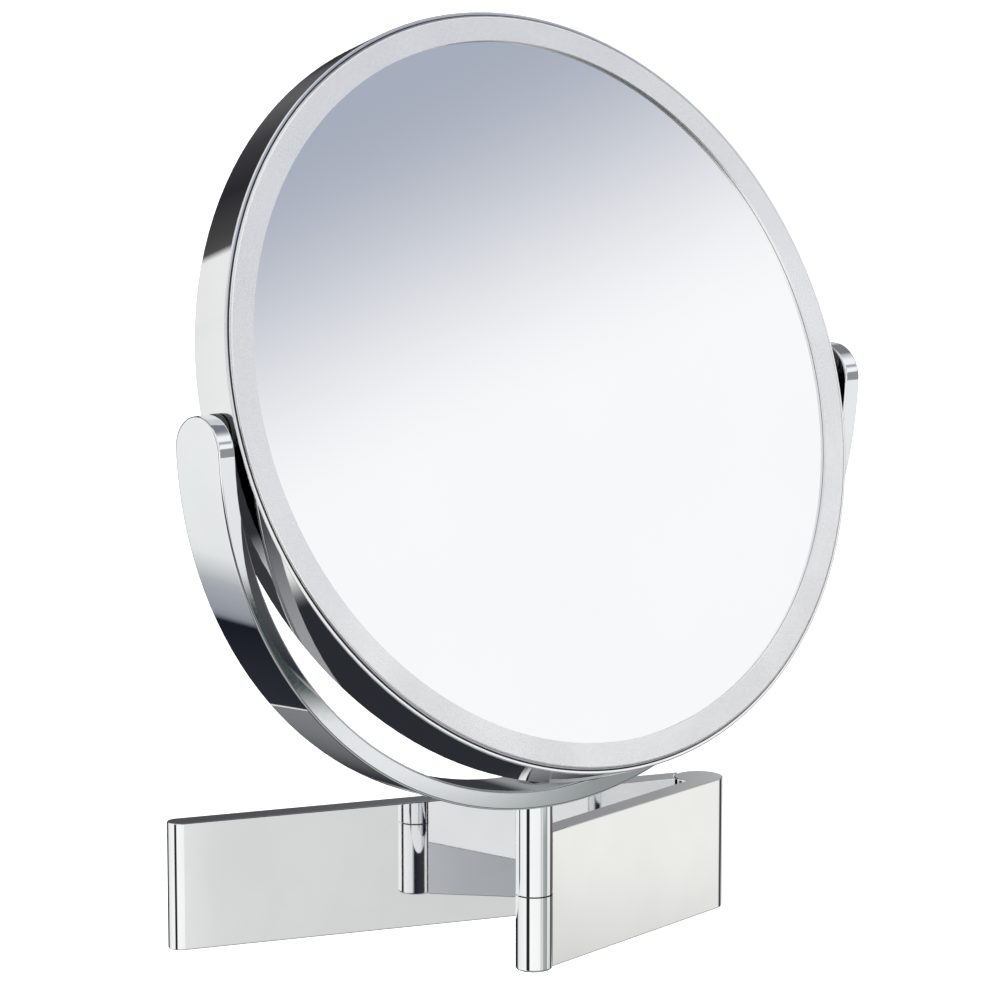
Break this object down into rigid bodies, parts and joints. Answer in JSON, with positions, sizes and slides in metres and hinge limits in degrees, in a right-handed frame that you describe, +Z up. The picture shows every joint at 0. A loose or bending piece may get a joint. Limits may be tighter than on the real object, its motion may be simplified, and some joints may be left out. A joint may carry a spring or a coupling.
{
  "type": "extendable shaving mirror",
  "caption": "Wall-mounted round shaving mirror, plain one side and magnifying the other, tilting in a half-ring yoke on a hinged flat swing arm.",
  "frame": {"origin": "middle of the hidden wall bracket's back face, on the wall plane", "axes": "+Z up, +Y into the wall, +X to the right along the wall plate; the mirror stands on the -Y side"},
  "size_m": [0.209, 0.1485, 0.2489],
  "materials": {
    "chrome_plate": "polished",
    "chrome_arm": "polished",
    "chrome_yoke": "polished",
    "chrome_band": "polished",
    "satin_bezel": "satin",
    "mirror_glass": "polished",
    "steel": "zinc plated",
    "bracket_zinc": "as cast",
    "nylon": "moulded",
    "plug_nylon": "moulded",
    "carrier_plastic": "moulded",
    "foam": "closed-cell foam"
  },
  "bodies": {
    "wall_mount": {"wall_plate": "chrome_plate", "wall_bracket": "bracket_zinc", "wall_screws": "steel", "wall_plugs": "plug_nylon", "plate_grub_screws": "steel", "hinge_bushes": "nylon"},
    "arm": {"swing_arm": "chrome_arm", "hinge_pin": "steel", "hinge_end_screw": "steel", "swivel_bush": "nylon", "arm_end_plug": "carrier_plastic"},
    "yoke_assembly": {"yoke": "chrome_yoke", "yoke_screw": "steel", "swivel_post": "chrome_yoke", "swivel_pin": "steel", "swivel_spring_washer": "steel", "swivel_washer": "steel", "swivel_screw": "steel", "trunnion_pins": "steel", "trunnion_washers": "nylon"},
    "mirror_head": {"head_bushes": "nylon", "mirror_band": "chrome_band", "front_bezel": "satin_bezel", "rear_bezel": "satin_bezel", "front_glass": "mirror_glass", "rear_glass": "mirror_glass", "glass_carrier": "carrier_plastic", "foam_pad": "foam"}
  },
  "joints": [
    {"name": "arm_swing", "type": "hinge", "parent": "wall_mount", "child": "arm", "pos_m": [0.0734, -0.0167, 0], "axis": [0, 0, 1], "range_deg": [-28, 120]},
    {"name": "yoke_swivel", "type": "hinge", "parent": "arm", "child": "yoke_assembly", "pos_m": [0.00649, -0.06051, 0], "axis": [0, 0, 1], "range_deg": [-170, 170]},
    {"name": "mirror_tilt", "type": "hinge", "parent": "yoke_assembly", "child": "mirror_head", "pos_m": [0.00649, -0.06051, 0.1331], "axis": [0.9532, 0.3024, 0], "continuous": true}
  ]
}
